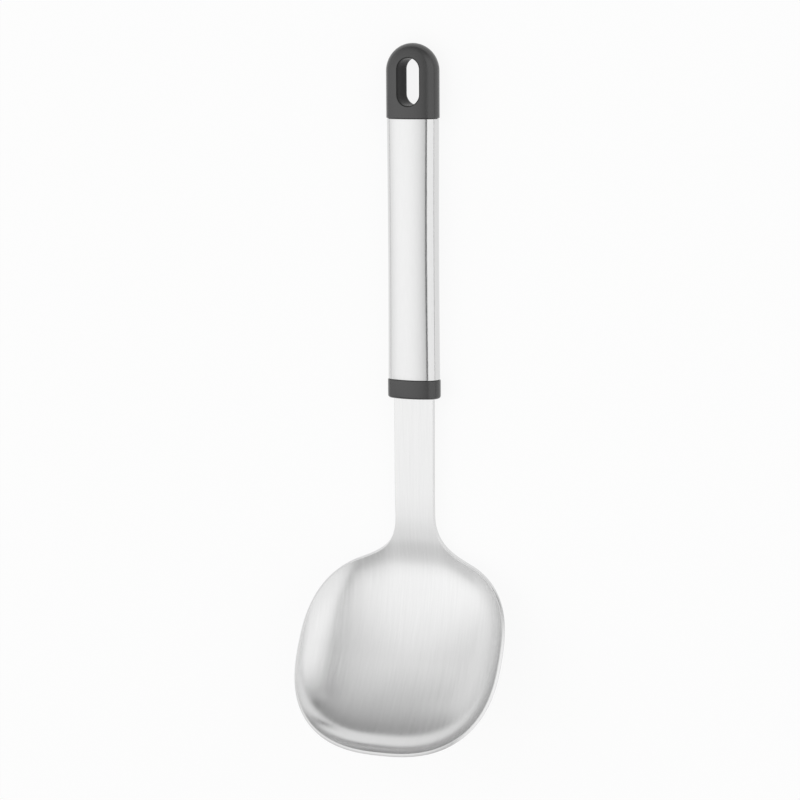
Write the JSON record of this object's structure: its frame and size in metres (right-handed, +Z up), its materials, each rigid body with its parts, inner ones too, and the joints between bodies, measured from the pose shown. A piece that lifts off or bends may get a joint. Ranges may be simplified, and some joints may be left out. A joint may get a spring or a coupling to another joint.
{
  "type": "rice serving spoon",
  "caption": "Wide round stainless bowl on a flat neck, clamped in an oval steel tube handle with a black ferrule and a slotted black end cap, for serving rice.",
  "frame": {"origin": "middle of the overall length and width, on the table that the spoon lies on", "axes": "+Y along the handle towards the end cap, +X to the right of it, +Z up, out of the open bowl"},
  "size_m": [0.1012, 0.3216, 0.0546],
  "materials": {
    "blade_steel": "satin stamped stainless sheet",
    "tube_steel": "fine satin drawn stainless tube",
    "black_plastic": "satin moulded black plastic",
    "core_plastic": "plain moulded plastic, hidden in the handle"
  },
  "bodies": {
    "root": {"spoon_blade": "blade_steel", "front_ferrule": "black_plastic", "tang_core_front": "core_plastic", "tang_core_back": "core_plastic", "handle_tube": "tube_steel", "end_cap": "black_plastic"}
  },
  "joints": []
}
